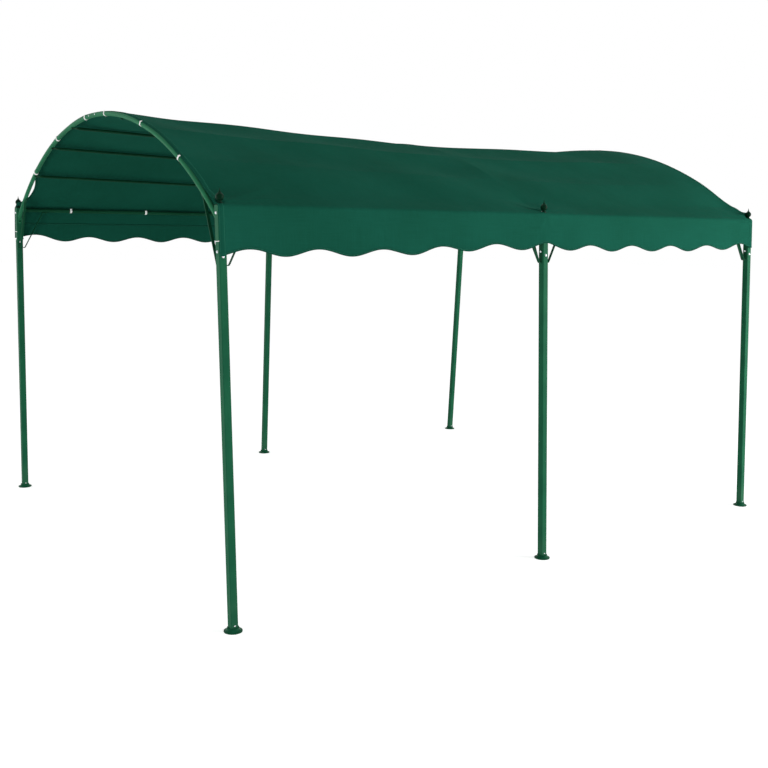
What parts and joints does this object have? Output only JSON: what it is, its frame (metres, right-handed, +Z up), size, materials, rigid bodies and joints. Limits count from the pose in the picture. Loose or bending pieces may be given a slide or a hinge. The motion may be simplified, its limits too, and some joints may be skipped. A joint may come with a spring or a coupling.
{
  "type": "garden gazebo",
  "caption": "Free-standing garden gazebo with a barrel-arched steel tube frame, leaning square posts, a fabric roof and scalloped valances along the long sides.",
  "frame": {"origin": "on the ground, below the middle of the roof", "axes": "+Z up; X along the length, with an open gable at each end; Y across the width, with the valances facing -Y and +Y"},
  "size_m": [4.051, 3.328, 2.4868],
  "materials": {
    "post_paint": "dark green powder coat, semi-gloss",
    "arch_paint": "mid green powder coat, semi-gloss",
    "rail_paint": "dark green powder coat, semi-gloss",
    "brace_paint": "dark green powder coat, semi-gloss",
    "moulded_plastic": "very dark green moulded plastic, satin",
    "canopy_fabric": "coated woven polyester, dark teal green",
    "fastener_zinc": "bright zinc-plated steel bolts, nuts and screws, in the visual model only",
    "tie_tape": "white woven tape, in the visual model only"
  },
  "bodies": {
    "root": {"post_front_left": "post_paint", "post_front_middle": "post_paint", "post_front_right": "post_paint", "post_back_left": "post_paint", "post_back_middle": "post_paint", "post_back_right": "post_paint", "foot_front_left": "moulded_plastic", "foot_front_middle": "moulded_plastic", "foot_front_right": "moulded_plastic", "foot_back_left": "moulded_plastic", "foot_back_middle": "moulded_plastic", "foot_back_right": "moulded_plastic", "finial_front_left": "moulded_plastic", "finial_front_middle": "moulded_plastic", "finial_front_right": "moulded_plastic", "finial_back_left": "moulded_plastic", "finial_back_middle": "moulded_plastic", "finial_back_right": "moulded_plastic", "braces_front_left": "brace_paint", "braces_front_middle": "brace_paint", "braces_front_right": "brace_paint", "braces_back_left": "brace_paint", "braces_back_middle": "brace_paint", "braces_back_right": "brace_paint", "arch_left_front_half": "arch_paint", "arch_left_back_half": "arch_paint", "arch_middle_front_half": "arch_paint", "arch_middle_back_half": "arch_paint", "arch_right_front_half": "arch_paint", "arch_right_back_half": "arch_paint", "eave_rail_front_left": "rail_paint", "eave_rail_front_right": "rail_paint", "eave_rail_back_left": "rail_paint", "eave_rail_back_right": "rail_paint", "purlins_front_upper": "rail_paint", "purlins_front_middle": "rail_paint", "purlins_front_lower": "rail_paint", "purlins_back_upper": "rail_paint", "purlins_back_middle": "rail_paint", "purlins_back_lower": "rail_paint", "canopy_roof": "canopy_fabric", "valance_front": "canopy_fabric", "valance_back": "canopy_fabric"}
  },
  "joints": []
}
